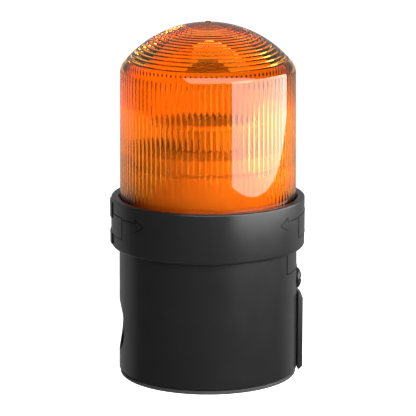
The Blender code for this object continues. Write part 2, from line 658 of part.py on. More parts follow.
def make_terminals(block_material, clamp_material, screw_material):
    """A block under the deck, open at the front to the wires and below to the screws."""
    top = DECK_BOTTOM - GAP
    bottom = top - TERMINAL_BLOCK_HEIGHT
    front = TERMINAL_BLOCK_Y - TERMINAL_BLOCK_DEPTH / 2
    back = TERMINAL_BLOCK_Y + TERMINAL_BLOCK_DEPTH / 2
    half = TERMINAL_COUNT * TERMINAL_PITCH / 2
    body = block("terminal_block", (-half, front, bottom), (half, back, top), block_material)
    cavity_half = TERMINAL_CAVITY / 2
    cavity_top = top - TERMINAL_ROOF
    clamp_half = CLAMP_SIZE / 2
    for index in range(TERMINAL_COUNT):
        x = terminal_x(index)
        number = index + 1
        cut(body, block("terminal_cavity_%d" % number,
                        (x - cavity_half, front - CUTTER_REACH, cavity_top - TERMINAL_CAVITY),
                        (x + cavity_half, back - TERMINAL_BACK, cavity_top)))
        well = drill("terminal_well_%d" % number, TERMINAL_SCREW_RADIUS + 2 * GAP,
                     bottom - CUTTER_REACH, cavity_top - TERMINAL_CAVITY / 2)
        well.location = (x, TERMINAL_BLOCK_Y, 0)
        cut(body, well)
        middle = cavity_top - TERMINAL_CAVITY / 2
        clamp = block("terminal_clamp_%d" % number,
                      (x - clamp_half, TERMINAL_BLOCK_Y - clamp_half, middle - clamp_half),
                      (x + clamp_half, TERMINAL_BLOCK_Y + clamp_half, middle + clamp_half),
                      clamp_material)
        cut(clamp, block("terminal_mouth_%d" % number,
                         (x - clamp_half + CLAMP_WALL, TERMINAL_BLOCK_Y - 2 * CLAMP_SIZE, middle),
                         (x + clamp_half - CLAMP_WALL, TERMINAL_BLOCK_Y + 2 * CLAMP_SIZE,
                          middle + clamp_half - CLAMP_WALL)))
        bore = drill("terminal_thread_%d" % number, TERMINAL_SCREW_RADIUS + GAP,
                     bottom - CUTTER_REACH, middle + GAP)
        bore.location = (x, TERMINAL_BLOCK_Y, 0)
        cut(clamp, bore)
        length = middle - bottom - TERMINAL_SCREW_SHORT
        one = screw("terminal_screw_%d" % number, TERMINAL_SCREW_RADIUS,
                    TERMINAL_SCREW_RADIUS + GAP / 2, TERMINAL_SCREW_HEAD, length, screw_material)
        one.location = (x, TERMINAL_BLOCK_Y, bottom + TERMINAL_SCREW_HEAD)
        one.rotation_euler = (math.radians(180), 0, 0)


def make_lead(name, route, material):
    """A short insulated wire along a smooth curve through its route."""
    points = [Vector(point) for point in route]
    smooth = []
    padded = [2 * points[0] - points[1]] + points + [2 * points[-1] - points[-2]]
    for a, b, c, d in zip(padded, padded[1:], padded[2:], padded[3:]):
        for step in range(4):
            t = step / 4
            smooth.append(0.5 * (2 * b + (c - a) * t + (2 * a - 5 * b + 4 * c - d) * t ** 2
                                 + (3 * b - a - 3 * c + d) * t ** 3))
    smooth.append(points[-1])
    curve = bpy.data.curves.new(name, "CURVE")
    curve.dimensions = "3D"
    curve.bevel_depth = LEAD_RADIUS
    curve.bevel_resolution = 2
    curve.use_fill_caps = True
    spline = curve.splines.new("POLY")
    spline.points.add(len(smooth) - 1)
    for point, place in zip(spline.points, smooth):
        point.co = (*place, 1.0)
    curve.materials.append(material)
    lead = bpy.data.objects.new(name, curve)
    bpy.context.collection.objects.link(lead)
    return lead


def make_leads(materials):
    """From the back of the outer terminals to under the sockets."""
    back = TERMINAL_BLOCK_Y + TERMINAL_BLOCK_DEPTH / 2
    start_z = DECK_BOTTOM - GAP - TERMINAL_BLOCK_HEIGHT / 2
    end_z = DECK_TOP - CONTACT_LENGTH
    for number, side in enumerate((-1, 1), start=1):
        x = side * TERMINAL_PITCH
        end_x = side * CONTACT_SPACING / 2
        route = [(x, back + 2 * GAP, start_z), (x, back + 1.8 * MM, start_z - 0.6 * MM),
                 (x + side * 2 * MM, back + 3.4 * MM, end_z - 5.6 * MM),
                 (end_x, -0.4 * MM, end_z - 3.4 * MM), (end_x, 0, end_z - LEAD_RADIUS)]
        make_lead("lead_wire_%d" % number, route, materials[number - 1])


def make_unit_base(material):
    """The light unit's stepped shell: a floor, a skirt and a narrower drum."""
    wall = UNIT_WALL
    profile = [(FLOOR_HOLE_RADIUS, UNIT_BOTTOM), (UNIT_SKIRT_RADIUS, UNIT_BOTTOM),
               (UNIT_SKIRT_RADIUS, UNIT_SKIRT_TOP - UNIT_EDGE),
               (UNIT_SKIRT_RADIUS - UNIT_EDGE, UNIT_SKIRT_TOP),
               (UNIT_DRUM_RADIUS, UNIT_SKIRT_TOP),
               (UNIT_DRUM_RADIUS, UNIT_DRUM_TOP - UNIT_EDGE),
               (UNIT_DRUM_RADIUS - UNIT_EDGE, UNIT_DRUM_TOP),
               (WIRE_HOLE_RADIUS, UNIT_DRUM_TOP), (WIRE_HOLE_RADIUS, UNIT_DRUM_TOP - wall),
               (UNIT_DRUM_RADIUS - wall, UNIT_DRUM_TOP - wall),
               (UNIT_DRUM_RADIUS - wall, UNIT_SKIRT_TOP - wall),
               (UNIT_SKIRT_RADIUS - wall, UNIT_SKIRT_TOP - wall),
               (UNIT_SKIRT_RADIUS - wall, UNIT_FLOOR_TOP), (FLOOR_HOLE_RADIUS, UNIT_FLOOR_TOP)]
    shell = turned("led_unit_base", profile, material)
    for number, side in enumerate((-1, 1), start=1):
        hole = drill("pin_hole_%d" % number, PIN_RADIUS + GAP, 0, UNIT_FLOOR_TOP + CUTTER_REACH)
        hole.location = (side * CONTACT_SPACING / 2, 0, 0)
        cut(shell, hole)
    return shell


def make_plug_pins(material):
    collar_low = UNIT_FLOOR_TOP + GAP
    collar_high = collar_low + PIN_COLLAR
    top = DRIVER_HEIGHT - GAP
    for number, side in enumerate((-1, 1), start=1):
        one = solid_of_turn("plug_pin_%d" % number,
                            [(0, top), (PIN_RADIUS, top), (PIN_RADIUS, collar_high),
                             (2 * PIN_RADIUS, collar_high), (2 * PIN_RADIUS, collar_low),
                             (PIN_RADIUS, collar_low), (PIN_RADIUS, PIN_BOTTOM + PIN_TIP),
                             (PIN_RADIUS - PIN_TIP, PIN_BOTTOM), (0, PIN_BOTTOM)], material)
        one.location = (side * CONTACT_SPACING / 2, 0, 0)


def make_driver(board_material, can_material):
    width, depth, thickness = DRIVER_SIZE
    block("driver_board", (-width / 2, -depth / 2, DRIVER_HEIGHT),
          (width / 2, depth / 2, DRIVER_HEIGHT + thickness), board_material)
    low = DRIVER_HEIGHT + thickness + GAP
    can = rod("driver_capacitor", CAPACITOR_RADIUS, low, low + CAPACITOR_HEIGHT, can_material)
    can.location = (width / 2 - 2 * CAPACITOR_RADIUS, -depth / 4, 0)


def hexagon(radius):
    """Corner points of a six-sided outline with a flat side towards +X."""
    return [tuple(polar(radius, 30 + 60 * side).xy) for side in range(6)]


def make_post_and_boards(post_material, board_material):
    """A six-sided heat sink with one light board on each side."""
    post = prism("led_post", hexagon(POST_RADIUS), POST_HEIGHT, post_material)
    post.location = (0, 0, POST_BOTTOM)
    cut(post, drill("post_bore", SCREW_HOLE, 0, 2 * POST_TOP))
    flat = POST_RADIUS * math.cos(math.radians(30)) + GAP
    for index in range(BOARD_COUNT):
        board = block("led_board_%d" % (index + 1),
                      (flat, -BOARD_WIDTH / 2, POST_BOTTOM + BOARD_END_MARGIN),
                      (flat + BOARD_THICKNESS, BOARD_WIDTH / 2, POST_TOP - BOARD_END_MARGIN),
                      board_material)
        board.rotation_euler = (0, 0, math.radians(60 * index))


def make_led_cap(material, screw_material):
    turned("led_cap", [(SCREW_HOLE, CAP_BOTTOM), (CAP_RADIUS - CAP_EDGE, CAP_BOTTOM),
                       (CAP_RADIUS, CAP_BOTTOM + CAP_EDGE), (CAP_RADIUS, CAP_TOP - CAP_EDGE),
                       (CAP_RADIUS - CAP_EDGE, CAP_TOP), (SCREW_HOLE, CAP_TOP)], material)
    one = screw("led_cap_screw", SCREW_SHANK, SCREW_HEAD_RADIUS, SCREW_HEAD_HEIGHT,
                POST_HEIGHT + CAP_THICKNESS - GAP, screw_material)
    one.location = (0, 0, CAP_TOP + GAP)


def main():
    clear_scene()
    housing_black = make_material("housing_plastic", (0.024, 0.024, 0.026), 0.55)
    collar_black = make_material("collar_plastic", (0.026, 0.026, 0.028), 0.45)
    cover_black = make_material("cover_plastic", (0.02, 0.02, 0.022), 0.5)
    amber = make_material("amber_lens", (0.95, 0.17, 0.01), 0.08, alpha=0.6)
    rubber = make_material("seal_rubber", (0.03, 0.03, 0.03), 0.8)
    plate_grey = make_material("plate_plastic", (0.08, 0.08, 0.085), 0.6)
    deck_grey = make_material("deck_plastic", (0.25, 0.25, 0.26), 0.6)
    unit_white = make_material("unit_plastic", (0.75, 0.74, 0.7), 0.5)
    cap_grey = make_material("cap_plastic", (0.5, 0.5, 0.49), 0.5)
    steel = make_material("zinc_steel", (0.6, 0.6, 0.58), 0.35, 1.0)
    black_steel = make_material("black_steel", (0.03, 0.03, 0.032), 0.4, 0.6)
    brass = make_material("brass", (0.72, 0.5, 0.2), 0.3, 1.0)
    aluminium = make_material("aluminium", (0.7, 0.7, 0.72), 0.35, 1.0)
    board_green = make_material("circuit_board", (0.03, 0.2, 0.08), 0.5)
    board_white = make_material("light_board", (0.85, 0.85, 0.82), 0.45)
    can_blue = make_material("capacitor_sleeve", (0.03, 0.05, 0.2), 0.4)
    lead_red = make_material("red_insulation", (0.5, 0.03, 0.02), 0.5)
    lead_black = make_material("black_insulation", (0.02, 0.02, 0.02), 0.5)

    make_base_housing(housing_black)
    make_mounting_gasket(rubber)
    make_base_plate(plate_grey)
    make_plate_screws(steel)
    make_side_screw(black_steel, steel)
    make_entry_cover(cover_black, rubber)
    make_neck_seal(rubber)
    make_contact_deck(deck_grey)
    make_deck_screws(steel)
    make_socket_contacts(brass)
    make_terminals(deck_grey, brass, steel)
    make_leads((lead_red, lead_black))
    make_unit_base(unit_white)
    make_plug_pins(brass)
    make_driver(board_green, can_blue)
    make_post_and_boards(aluminium, board_white)
    make_led_cap(cap_grey, steel)
    make_lens_dome(amber)
    make_locking_collar(collar_black)


main()
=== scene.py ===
# %% [markdown]
# # A twist-lock warning beacon
#
# The beacon is a clear amber lens on a black base. A collar turns an eighth of
# a turn to free the lens, and a light unit plugs in underneath it.
# The CAD model is loaded first, because every size and place below comes from it.

# %% Load the CAD model
import json
import math

import bpy
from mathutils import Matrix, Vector


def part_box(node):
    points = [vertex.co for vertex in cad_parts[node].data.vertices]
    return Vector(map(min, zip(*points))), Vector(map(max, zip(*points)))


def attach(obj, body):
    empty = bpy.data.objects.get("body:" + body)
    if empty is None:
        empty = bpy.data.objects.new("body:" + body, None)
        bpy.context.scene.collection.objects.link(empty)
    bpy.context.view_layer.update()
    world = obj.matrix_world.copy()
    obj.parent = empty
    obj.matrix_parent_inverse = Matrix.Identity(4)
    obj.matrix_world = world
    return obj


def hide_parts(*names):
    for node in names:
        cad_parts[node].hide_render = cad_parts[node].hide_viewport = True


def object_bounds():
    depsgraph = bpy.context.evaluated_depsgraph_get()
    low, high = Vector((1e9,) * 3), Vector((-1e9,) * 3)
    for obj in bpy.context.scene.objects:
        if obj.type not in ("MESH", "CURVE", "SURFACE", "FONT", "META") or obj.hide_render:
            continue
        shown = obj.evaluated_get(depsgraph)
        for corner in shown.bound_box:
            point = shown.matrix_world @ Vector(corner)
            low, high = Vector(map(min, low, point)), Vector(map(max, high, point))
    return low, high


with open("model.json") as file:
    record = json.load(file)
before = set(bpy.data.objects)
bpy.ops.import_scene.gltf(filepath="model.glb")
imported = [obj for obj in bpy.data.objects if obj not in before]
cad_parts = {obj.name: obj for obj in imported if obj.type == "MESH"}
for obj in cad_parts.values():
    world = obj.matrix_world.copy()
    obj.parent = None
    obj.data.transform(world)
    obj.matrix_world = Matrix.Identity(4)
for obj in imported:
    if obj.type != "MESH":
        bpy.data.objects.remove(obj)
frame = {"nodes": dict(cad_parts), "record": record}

cad_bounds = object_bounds()
MM = 0.001
print("CAD box:", [[round(value / MM, 1) for value in corner] for corner in cad_bounds])

# %% [markdown]
# ## Stage
#
# A product picture of a shiny lens is made by what the lens reflects. So the
# surroundings come before the object: a pale floor, a white room that is darker
# behind the camera, and soft panels whose edges show in the lens.

# %% Floor
def select_none():
    """Leave edit mode and let go of everything, because operators act on what is selected."""
    if bpy.context.object and bpy.context.object.mode != "OBJECT":
        bpy.ops.object.mode_set(mode="OBJECT")
    bpy.ops.object.select_all(action="DESELECT")


FLOOR_SIZE = 12.0
select_none()
bpy.ops.mesh.primitive_plane_add(size=FLOOR_SIZE, location=(0, 0, cad_bounds[0][2]))
floor = bpy.context.object
floor.name = "studio_floor"
bpy.ops.object.mode_set(mode="EDIT")
bpy.ops.mesh.subdivide(number_cuts=3)
bpy.ops.object.mode_set(mode="OBJECT")
floor_material = bpy.data.materials.new("pale_floor")
floor_material.use_nodes = True
floor_shader = floor_material.node_tree.nodes["Principled BSDF"]
floor_shader.inputs["Base Color"].default_value = (0.93, 0.93, 0.93, 1)
floor_shader.inputs["Roughness"].default_value = 0.9
floor_shader.inputs["Emission Color"].default_value = (1, 1, 1, 1)
floor_shader.inputs["Emission Strength"].default_value = 1.0
floor.data.materials.append(floor_material)
floor.visible_glossy = False
print("floor at", floor.location.z)

# %% White room
# The camera sees pure white, and so does light that comes through the clear lens.
# Mirror reflections see a room that is very bright behind the beacon (+Y) and dim
# elsewhere. The dim part keeps the lens deep in colour. The bright part shows only
# at a glancing angle, where it draws a pale rim down both edges. A little light
# from below catches the rounded lower edges.
ROOM_BRIGHT = 1.0
ROOM_SOFT = 0.75
GLOSS_FRONT = 0.24
GLOSS_LEFT = 0.3
GLOSS_BACK = 7.0
GLOSS_DOWN = 0.8
LEFT_SPLIT = (-0.62, -0.56)
BACK_SPLIT = (0.2, 0.6)
DOWN_SPLIT = (-0.8, -0.45)


def map_range(tree, source, low, high, first, second):
    """A smooth step from one value to another."""
    step = tree.nodes.new("ShaderNodeMapRange")
    step.interpolation_type = "SMOOTHSTEP"
    for name, value in (("From Min", low), ("From Max", high), ("To Min", first), ("To Max", second)):
        step.inputs[name].default_value = value
    tree.links.new(source, step.inputs["Value"])
    return step.outputs["Result"]


def choose(tree, switch, when_off, when_on):
    """One value or another, by a switch that is 0 or 1. Each may be a number or a socket."""
    mix = tree.nodes.new("ShaderNodeMix")
    tree.links.new(switch, mix.inputs[0])
    for socket, value in ((mix.inputs[2], when_off), (mix.inputs[3], when_on)):
        if isinstance(value, float):
            socket.default_value = value
        else:
            tree.links.new(value, socket)
    return mix.outputs[0]


world = bpy.data.worlds.new("studio")
bpy.context.scene.world = world
world.use_nodes = True
room = world.node_tree
direction = room.nodes.new("ShaderNodeTexCoord")
split = room.nodes.new("ShaderNodeSeparateXYZ")
room.links.new(direction.outputs["Generated"], split.inputs[0])
path = room.nodes.new("ShaderNodeLightPath")
left_side = map_range(room, split.outputs["X"], *LEFT_SPLIT, 1.0, 0.0)
gloss_sides = choose(room, left_side, GLOSS_FRONT, GLOSS_LEFT)
behind = map_range(room, split.outputs["Y"], *BACK_SPLIT, 0.0, 1.0)
gloss = choose(room, behind, gloss_sides, GLOSS_BACK)
below = map_range(room, split.outputs["Z"], *DOWN_SPLIT, 1.0, 0.0)
gloss = choose(room, below, gloss, GLOSS_DOWN)
light = choose(room, path.outputs["Is Glossy Ray"], ROOM_SOFT, gloss)
light = choose(room, path.outputs["Is Transmission Ray"], light, ROOM_BRIGHT)
light = choose(room, path.outputs["Is Camera Ray"], light, 1.0)
room.links.new(light, room.nodes["Background"].inputs["Strength"])
bpy.context.scene.view_settings.view_transform = "Standard"
bpy.context.scene.cycles.glossy_bounces = 16
bpy.context.scene.cycles.transmission_bounces = 24
bpy.context.scene.cycles.max_bounces = 32
print("room:", ROOM_BRIGHT, "through the lens,", GLOSS_FRONT, "in its front reflections")

# %% Soft panels
def around(radius, degrees, height=0.0):
    """A point at that distance from the axis, counted from the front (-Y) towards +X."""
    angle = math.radians(degrees)
    return Vector((radius * math.sin(angle), -radius * math.cos(angle), height))


def add_panel(name, centre, target, width, height, brightness):
    """A soft box that faces target. Brightness is what the lens sees of its face."""
    select_none()
    bpy.ops.object.light_add(type="AREA", location=centre)
    panel = bpy.context.object
    panel.name = name
    panel.data.shape = "RECTANGLE"
    panel.data.size = width
    panel.data.size_y = height
    panel.data.energy = brightness * math.pi * width * height
    panel.rotation_euler = (Vector(target) - Vector(centre)).to_track_quat("-Z", "Y").to_euler()
    panel.visible_camera = False
    return panel


def add_upright_panel(name, azimuth, distance, edges, heights, brightness):
    """A vertical panel that faces the axis, given by its side edges, bottom and top."""
    across = around(1, azimuth + 90)
    middle = around(distance, azimuth, sum(heights) / 2) + across * sum(edges) / 2
    return add_panel(name, middle, middle - around(1, azimuth), edges[1] - edges[0],
                     heights[1] - heights[0], brightness)


add_upright_panel("side_panel", azimuth=56.7, distance=0.190, edges=(-0.116, 0.320),
                  heights=(0.0375, 0.170), brightness=6.5)
PANEL_LEAN = 45.0
front_middle = Vector((0.18, -0.39, 0.30))
front_aim = around(1, 180, -math.tan(math.radians(PANEL_LEAN)))
add_panel("front_panel", front_middle, front_middle + front_aim, width=0.84, height=0.31,
          brightness=4.0)

# %% Camera
# A long lens a little above the beacon, and a few degrees to its left.
CAMERA_DISTANCE = 0.800
CAMERA_ELEVATION = 12.39
CAMERA_AZIMUTH = -3.3
CAMERA_LENS = 191.0
AIM = Vector((0, 0, 0.0608))
flat = CAMERA_DISTANCE * math.cos(math.radians(CAMERA_ELEVATION))
rise = CAMERA_DISTANCE * math.sin(math.radians(CAMERA_ELEVATION))
select_none()
bpy.ops.object.camera_add(location=AIM + around(flat, CAMERA_AZIMUTH, rise))
camera = bpy.context.object
camera.rotation_euler = (AIM - camera.location).to_track_quat("-Z", "Y").to_euler()
camera.data.lens = CAMERA_LENS
camera.data.clip_start = 0.01
bpy.context.scene.camera = camera
print("camera at", [round(value, 3) for value in camera.location])

# %% [markdown]
# ## Finishes
#
# Moulded plastic is never one flat value. Its grain scatters the highlight, and
# handling polishes it in patches. Each finish below is a Principled shader with
# noise on Object coordinates, which stay put because every piece sits at the origin.

# %% A helper for finishes
def new_finish(name, color, roughness, metallic=0.0):
    """A Principled material, returned with its node tree and its shader."""
    material = bpy.data.materials.new(name)
    material.use_nodes = True
    shader = material.node_tree.nodes["Principled BSDF"]
    shader.inputs["Base Color"].default_value = (*color, 1)
    shader.inputs["Roughness"].default_value = roughness
    shader.inputs["Metallic"].default_value = metallic
    return material, material.node_tree, shader


def add_noise(tree, scale, detail=3.0):
    """Noise on Object coordinates; scale is in spots per metre."""
    place = tree.nodes.new("ShaderNodeTexCoord")
    noise = tree.nodes.new("ShaderNodeTexNoise")
    noise.inputs["Scale"].default_value = scale
    noise.inputs["Detail"].default_value = detail
    tree.links.new(place.outputs["Object"], noise.inputs["Vector"])
    return noise.outputs["Fac"]


def spread(tree, source, low, high):
    """Map noise, which stays near its middle, onto a range of values."""
    scale = tree.nodes.new("ShaderNodeMapRange")
    scale.inputs["From Min"].default_value = 0.3
    scale.inputs["From Max"].default_value = 0.7
    scale.inputs["To Min"].default_value = low
    scale.inputs["To Max"].default_value = high
    tree.links.new(source, scale.inputs["Value"])
    return scale.outputs["Result"]


def blend_colors(tree, source, first, second):
    """Mix two colours by a value from 0 to 1."""
    mix = tree.nodes.new("ShaderNodeMix")
    mix.data_type = "RGBA"
    mix.inputs[6].default_value = (*first, 1)
    mix.inputs[7].default_value = (*second, 1)
    tree.links.new(source, mix.inputs[0])
    return mix.outputs[2]


def add_grain(tree, shader, scale, depth):
    """A fine bump, with its depth in metres."""
    bump = tree.nodes.new("ShaderNodeBump")
    bump.inputs["Distance"].default_value = depth
    bump.inputs["Strength"].default_value = 0.6
    tree.links.new(add_noise(tree, scale, 2.0), bump.inputs["Height"])
    tree.links.new(bump.outputs["Normal"], shader.inputs["Normal"])


def moulded_plastic(name, color, lighter, roughness, grain=0.000008):
    """Satin plastic: slow patches in colour and gloss, and a fine spark-eroded grain."""
    material, tree, shader = new_finish(name, color, roughness)
    patches = spread(tree, add_noise(tree, 110), 0.0, 1.0)
    tree.links.new(blend_colors(tree, patches, color, lighter), shader.inputs["Base Color"])
    gloss = spread(tree, add_noise(tree, 240), roughness - 0.02, roughness + 0.02)
    tree.links.new(gloss, shader.inputs["Roughness"])
    add_grain(tree, shader, 5200, grain)
    return material


black_housing = moulded_plastic("black_housing", (0.0082, 0.0082, 0.0084),
                                (0.0093, 0.0093, 0.0095), 0.30)
black_collar = moulded_plastic("black_collar", (0.0085, 0.0085, 0.0087), (0.0097, 0.0097, 0.0099), 0.30)
# The raised lines are moulded in the same plastic as the collar and the housing. This darker, duller
# copy paints the shadow along each line.
painted_shade_bead = moulded_plastic("painted_shade_bead", (0.002, 0.002, 0.002), (0.003, 0.003, 0.003), 0.65)
painted_shade_bead.node_tree.nodes["Principled BSDF"].inputs["Specular IOR Level"].default_value = 0.15
black_cover = moulded_plastic("black_cover", (0.009, 0.009, 0.0095), (0.012, 0.012, 0.012), 0.5)
black_rubber = moulded_plastic("black_rubber", (0.022, 0.022, 0.022), (0.035, 0.035, 0.035), 0.75)
print("black finishes:", black_housing.name, black_collar.name, black_cover.name, painted_shade_bead.name)

# %% Amber lens finish
# Clear amber plastic, coloured all through. Light that crosses both walls comes
# out a deeper orange than light that crosses one.
amber, amber_tree, amber_shader = new_finish("amber_lens", (0.94, 0.36, 0.04), 0.02)
amber_shader.inputs["Transmission Weight"].default_value = 1.0
amber_shader.inputs["IOR"].default_value = 1.5
amber_patches = spread(amber_tree, add_noise(amber_tree, 35), 0.0, 1.0)
amber_tree.links.new(blend_colors(amber_tree, amber_patches, (0.94, 0.37, 0.045), (0.93, 0.34, 0.035)),
                     amber_shader.inputs["Base Color"])
amber_tree.links.new(spread(amber_tree, add_noise(amber_tree, 420), 0.0, 0.03),
                     amber_shader.inputs["Roughness"])
print("amber:", amber.name)

# %% [markdown]
# ## Turned pieces
#
# Nearly every piece here is round. On a lathe it would be cut from a profile, and
# the same works in Blender: draw half the section one corner at a time by
# extruding a single vertex, then spin it round the axis.

# %% Drawing and spinning an outline
def draw_line(name, points):
    """Draw a line through points by extruding one vertex. It stays in edit mode."""
    select_none()
    bpy.ops.mesh.primitive_plane_add(size=MM)
    piece = bpy.context.object
    piece.name = name
    piece.data.name = name
    bpy.ops.object.mode_set(mode="EDIT")
    bpy.ops.mesh.select_mode(type="VERT")
    bpy.ops.mesh.select_all(action="SELECT")
    bpy.ops.mesh.merge(type="CENTER")
    bpy.ops.transform.translate(value=points[0])
    for near, far in zip(points, points[1:]):
        step = Vector(far) - Vector(near)
        bpy.ops.mesh.extrude_region_move(TRANSFORM_OT_translate={"value": step})
    return piece


def close_surface():
    """Merge the seams and poles, and turn every face outwards."""
    bpy.ops.mesh.select_all(action="SELECT")
    bpy.ops.mesh.remove_doubles(threshold=0.002 * MM)
    bpy.ops.mesh.normals_make_consistent(inside=False)
    bpy.ops.object.mode_set(mode="OBJECT")


def turn_piece(name, profile, steps=192):
    """Spin a profile of (radius, height) points round the Z axis."""
    piece = draw_line(name, [(radius, 0, height) for radius, height in profile])
    bpy.ops.mesh.select_all(action="SELECT")
    bpy.ops.mesh.spin(steps=steps, angle=math.tau, center=(0, 0, 0), axis=(0, 0, 1))
    close_surface()
    return piece


def arc(centre, radius, start, end, steps):
    """Points of an arc in the profile, in degrees from the +radius direction."""
    points = []
    for step in range(steps + 1):
        angle = math.radians(start + (end - start) * step / steps)
        points.append((centre[0] + radius * math.cos(angle),
                       centre[1] + radius * math.sin(angle)))
    return points


def smooth(piece, degrees=30):
    select_none()
    piece.select_set(True)
    bpy.context.view_layer.objects.active = piece
    bpy.ops.object.shade_smooth_by_angle(angle=math.radians(degrees))


def finish_piece(piece, material, body, slot, *replaced):
    """Give a piece its finish, its body and the CAD nodes that it stands for."""
    piece.data.materials.clear()
    piece.data.materials.append(material)
    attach(piece, body)
    if replaced:
        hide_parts(*replaced)
    print(piece.name, len(piece.data.polygons), "faces")


# %% [markdown]
# ## Lens
#
# The lens is smooth outside and worked inside: 96 upright flutes on the wall, and
# stepped rings in the dome. Both bend the light, so they are modelled, not painted.
# The whole section is spun in one go, six columns to a flute.

# %% Lens profile
lens_low, lens_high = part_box("lens_dome")
collar_low, collar_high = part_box("locking_collar")
FLUTES = 96
FLUTE_COLUMNS = 6
FLANGE_RADIUS = lens_high.x
LENS_RADIUS = FLANGE_RADIUS - 1.15 * MM
LENS_DRAFT = 0.35 * MM
LENS_WALL = 2.0 * MM
LENS_TOP_RADIUS = LENS_RADIUS - LENS_DRAFT
FOOT_RADIUS = FLANGE_RADIUS - 4.1 * MM
FLANGE_TOP = lens_low.z + 1.5 * MM
FLANGE_EDGE = 0.2 * MM
WALL_ROWS = (80 * MM, 95 * MM)
DOME_RADIUS = LENS_TOP_RADIUS + 7.5 * MM
SHOULDER_FILLET = 6.0 * MM
DOME_CENTRE = lens_high.z - DOME_RADIUS
SHOULDER = DOME_CENTRE + math.sqrt((DOME_RADIUS - SHOULDER_FILLET) ** 2
                                   - (LENS_TOP_RADIUS - SHOULDER_FILLET) ** 2)
NUB_RADIUS = 1.0 * MM
NUB_HEIGHT = 0.5 * MM
fillet_x = LENS_TOP_RADIUS - SHOULDER_FILLET
meet = math.degrees(math.atan2(SHOULDER - DOME_CENTRE, fillet_x))
wall_draft = LENS_DRAFT / (SHOULDER - collar_high.z)


def outer_radius(height):
    """The outside wall leans in a little, so that the moulding leaves its tool."""
    return LENS_RADIUS - wall_draft * max(0.0, height - collar_high.z)


outside = [(FOOT_RADIUS, lens_low.z), (FLANGE_RADIUS - FLANGE_EDGE, lens_low.z),
           (FLANGE_RADIUS, lens_low.z + FLANGE_EDGE), (FLANGE_RADIUS, FLANGE_TOP - FLANGE_EDGE),
           (FLANGE_RADIUS - FLANGE_EDGE, FLANGE_TOP), (LENS_RADIUS + 0.3 * MM, FLANGE_TOP)]
for height in (FLANGE_TOP + 0.3 * MM, collar_high.z, *WALL_ROWS):
    outside.append((outer_radius(height), height))
outside += arc((fillet_x, SHOULDER), SHOULDER_FILLET, 0, meet, 12)
nub_angle = math.degrees(math.acos(NUB_RADIUS / DOME_RADIUS))
outside += arc((0, DOME_CENTRE), DOME_RADIUS, meet, nub_angle, 20)[1:]
outside += [(NUB_RADIUS * 0.9, lens_high.z + NUB_HEIGHT * 0.8),
            (NUB_RADIUS * 0.6, lens_high.z + NUB_HEIGHT), (0, lens_high.z + NUB_HEIGHT)]
print("shoulder at", round(SHOULDER / MM, 2), "mm, outside has", len(outside), "points")

# %% Rings inside the dome
# The inner dome is cut in level treads, like an amphitheatre. Each riser throws
# its light sideways, so the dome is drawn in fine rings.
RING_PITCH = 1.3 * MM
RING_START = 4.2 * MM
RISER_LEAN = 0.12 * MM
INNER_DOME = DOME_RADIUS - LENS_WALL


def inner_dome_height(radius):
    return DOME_CENTRE + math.sqrt(INNER_DOME ** 2 - radius ** 2)


rings_end = INNER_DOME * math.cos(math.radians(meet))
ring_count = int((rings_end - RING_START) / RING_PITCH)
inside = [(0, inner_dome_height(0)), (RING_START / 2, inner_dome_height(RING_START / 2)),
          (RING_START, inner_dome_height(RING_START))]
for number in range(ring_count):
    near = RING_START + number * RING_PITCH
    tread = inner_dome_height(near + RING_PITCH)
    inside += [(near + RISER_LEAN, tread), (near + RING_PITCH, tread)]
inside += arc((fillet_x, SHOULDER), SHOULDER_FILLET - LENS_WALL, meet, 0, 6)
FLUTE_DEPTH = 0.28 * MM
FLUTE_TOP = SHOULDER
FLUTE_BOTTOM = collar_high.z + 0.3 * MM
FLUTE_RUNOUT = 4.7 * MM
FLUTE_FULL = FLUTE_BOTTOM + FLUTE_RUNOUT
for height in (*reversed(WALL_ROWS), FLUTE_FULL, FLUTE_BOTTOM, FLANGE_TOP):
    inside.append((outer_radius(height) - LENS_WALL, height))
inside.append((FOOT_RADIUS, FLANGE_TOP))
print(ring_count, "rings in the dome")

# %% Spin the lens
lens = turn_piece("lens", inside + outside, steps=FLUTES * FLUTE_COLUMNS)
print("lens has", len(lens.data.vertices), "points")

# %% Flutes
# Each flute is a rounded rib between two sharp grooves. Columns away from the
# rib's crown are pushed outwards, more and more towards the groove.
BETWEEN_WALLS = LENS_TOP_RADIUS - 0.9 * MM


def select_columns(piece, column, low, high):
    """Select the inner wall's points in one column of every flute, between two heights."""
    turn = math.tau / (FLUTES * FLUTE_COLUMNS)
    bpy.ops.object.mode_set(mode="EDIT")
    bpy.ops.mesh.select_mode(type="VERT")
    bpy.ops.mesh.select_all(action="DESELECT")
    bpy.ops.object.mode_set(mode="OBJECT")
    for point in piece.data.vertices:
        place = point.co
        inner_wall = math.hypot(place.x, place.y) < BETWEEN_WALLS
        if low < place.z < high and inner_wall:
            index = round(math.atan2(place.y, place.x) / turn) % FLUTE_COLUMNS
            point.select = min(index, FLUTE_COLUMNS - index) == column
    bpy.ops.object.mode_set(mode="EDIT")


select_none()
lens.select_set(True)
bpy.context.view_layer.objects.active = lens
half_flute = FLUTE_COLUMNS // 2
for column in range(1, half_flute + 1):
    share = (column / half_flute) ** 2
    factor = 1 + FLUTE_DEPTH * share / (LENS_RADIUS - LENS_WALL)
    select_columns(lens, column, FLUTE_FULL - 0.1 * MM, FLUTE_TOP + 0.1 * MM)
    bpy.ops.transform.resize(value=(factor, factor, 1), center_override=(0, 0, 0))
bpy.ops.object.mode_set(mode="OBJECT")
smooth(lens, 28)
finish_piece(lens, amber, "lens", "amber_lens", "lens_dome")

# %% [markdown]
# ## Collar
#
# The collar is a turned ring with a rounded lower edge. On each side it has a low
# pad, and a fine raised line draws the pad's outline and an arrow at each end. The
# line is a thin bead that is swept along a path. On the left, two grip ribs stand
# out above and below the pad, joined on by a Boolean so that the ring stays one shell.

